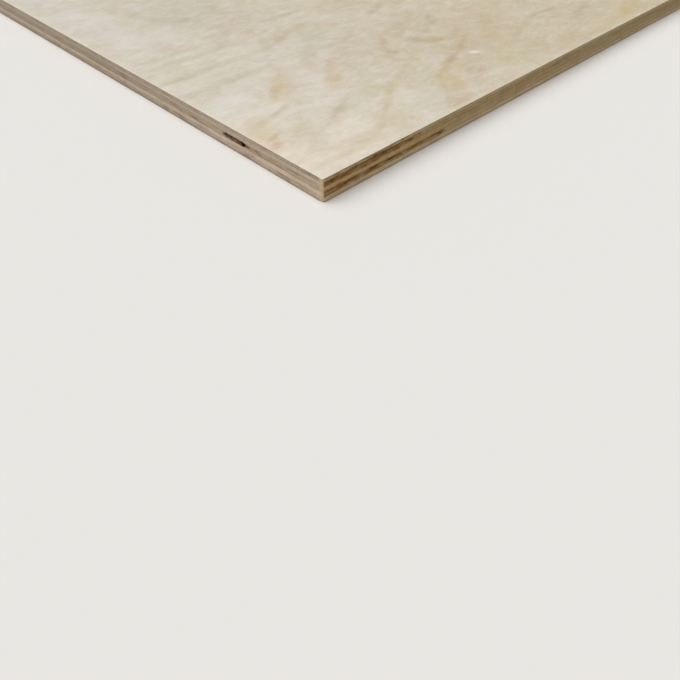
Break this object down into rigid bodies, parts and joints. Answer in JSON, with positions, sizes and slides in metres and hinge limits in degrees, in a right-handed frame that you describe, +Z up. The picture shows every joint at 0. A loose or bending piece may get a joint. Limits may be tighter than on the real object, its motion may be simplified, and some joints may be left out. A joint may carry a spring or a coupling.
{
  "type": "plywood sheet",
  "caption": "Square sheet of thin birch plywood: cross-laminated veneers glued flat, with square-cut edges that show the plies and worn corners.",
  "frame": {"origin": "middle of the sheet's underside, on the plane that it lies on", "axes": "+Z up out of the good face, +X along the grain of the face, +Y across it; the edge with the open knot is at -X, near the corner at -X -Y"},
  "size_m": [0.3, 0.3, 0.006],
  "materials": {
    "birch_face": "sanded, unfinished",
    "birch_crossband": "sawn edge, unfinished",
    "birch_core": "sawn edge, unfinished"
  },
  "bodies": {
    "root": {"face_veneer": "birch_face", "upper_crossband": "birch_crossband", "core_veneer": "birch_core", "lower_crossband": "birch_crossband", "back_veneer": "birch_face"}
  },
  "joints": []
}
